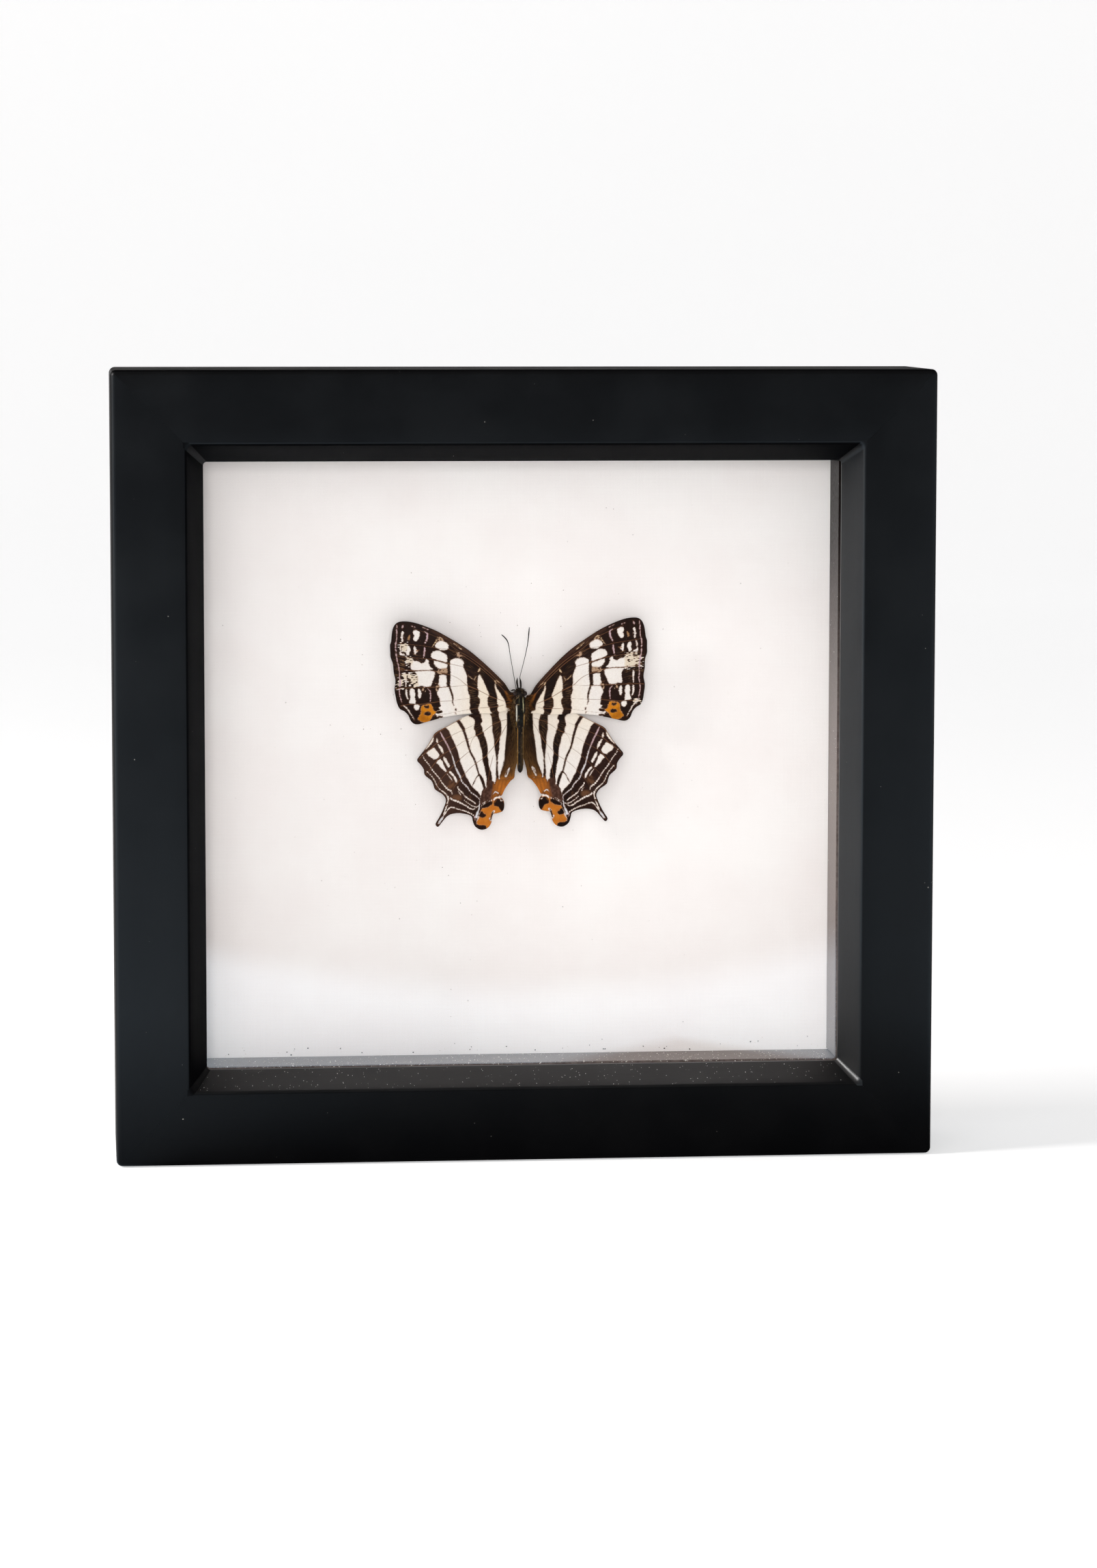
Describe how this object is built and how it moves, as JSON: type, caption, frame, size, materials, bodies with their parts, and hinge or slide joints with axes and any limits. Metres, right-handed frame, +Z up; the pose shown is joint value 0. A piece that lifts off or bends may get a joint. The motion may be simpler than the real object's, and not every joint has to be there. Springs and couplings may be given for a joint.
{
  "type": "framed butterfly specimen",
  "caption": "Small black shadow-box frame with a glass front and a white mount, holding one spread banded map butterfly.",
  "frame": {"origin": "centre of the whole object's box across the width and the depth, at the frame's bottom face", "axes": "+Z up along the butterfly's body towards its head, +X to the right seen from the front, the glass faces -Y and the back faces +Y"},
  "size_m": [0.152, 0.0326, 0.1464],
  "materials": {
    "black_lacquer": "satin black lacquer over wood, dusty, softly worn arrises",
    "clear_glass": "clear float glass with a little dust near its edges",
    "dark_spacer": "dark stained spacer strip, matt and dusty",
    "white_card": "off-white card with fine grain and scattered wing dust",
    "fibreboard": "bare brown hardboard",
    "plated_steel": "zinc plated sheet steel",
    "wing_scales": "dry scaled wing: off-white with dark brown bands, ochre spots and fine tan veins",
    "dark_body": "dry dark brown insect body with short hair",
    "glue": "yellowish hot glue"
  },
  "bodies": {
    "root": {"rail_top": "black_lacquer", "rail_bottom": "black_lacquer", "stile_left": "black_lacquer", "stile_right": "black_lacquer", "glass_pane": "clear_glass", "spacer_top": "dark_spacer", "spacer_bottom": "dark_spacer", "spacer_left": "dark_spacer", "spacer_right": "dark_spacer", "mount_board": "white_card", "backing_board": "fibreboard", "tab_top_1": "plated_steel", "tab_top_2": "plated_steel", "tab_bottom_1": "plated_steel", "tab_bottom_2": "plated_steel", "tab_left_1": "plated_steel", "tab_left_2": "plated_steel", "tab_right_1": "plated_steel", "tab_right_2": "plated_steel", "sawtooth_hanger": "plated_steel", "hanger_nail_left": "plated_steel", "hanger_nail_right": "plated_steel", "forewing_right": "wing_scales", "forewing_left": "wing_scales", "hindwing_right": "wing_scales", "hindwing_left": "wing_scales", "butterfly_body": "dark_body", "antenna_left": "dark_body", "antenna_right": "dark_body", "palp_left": "dark_body", "palp_right": "dark_body", "foreleg_left": "dark_body", "glue_dab": "glue"}
  },
  "joints": []
}
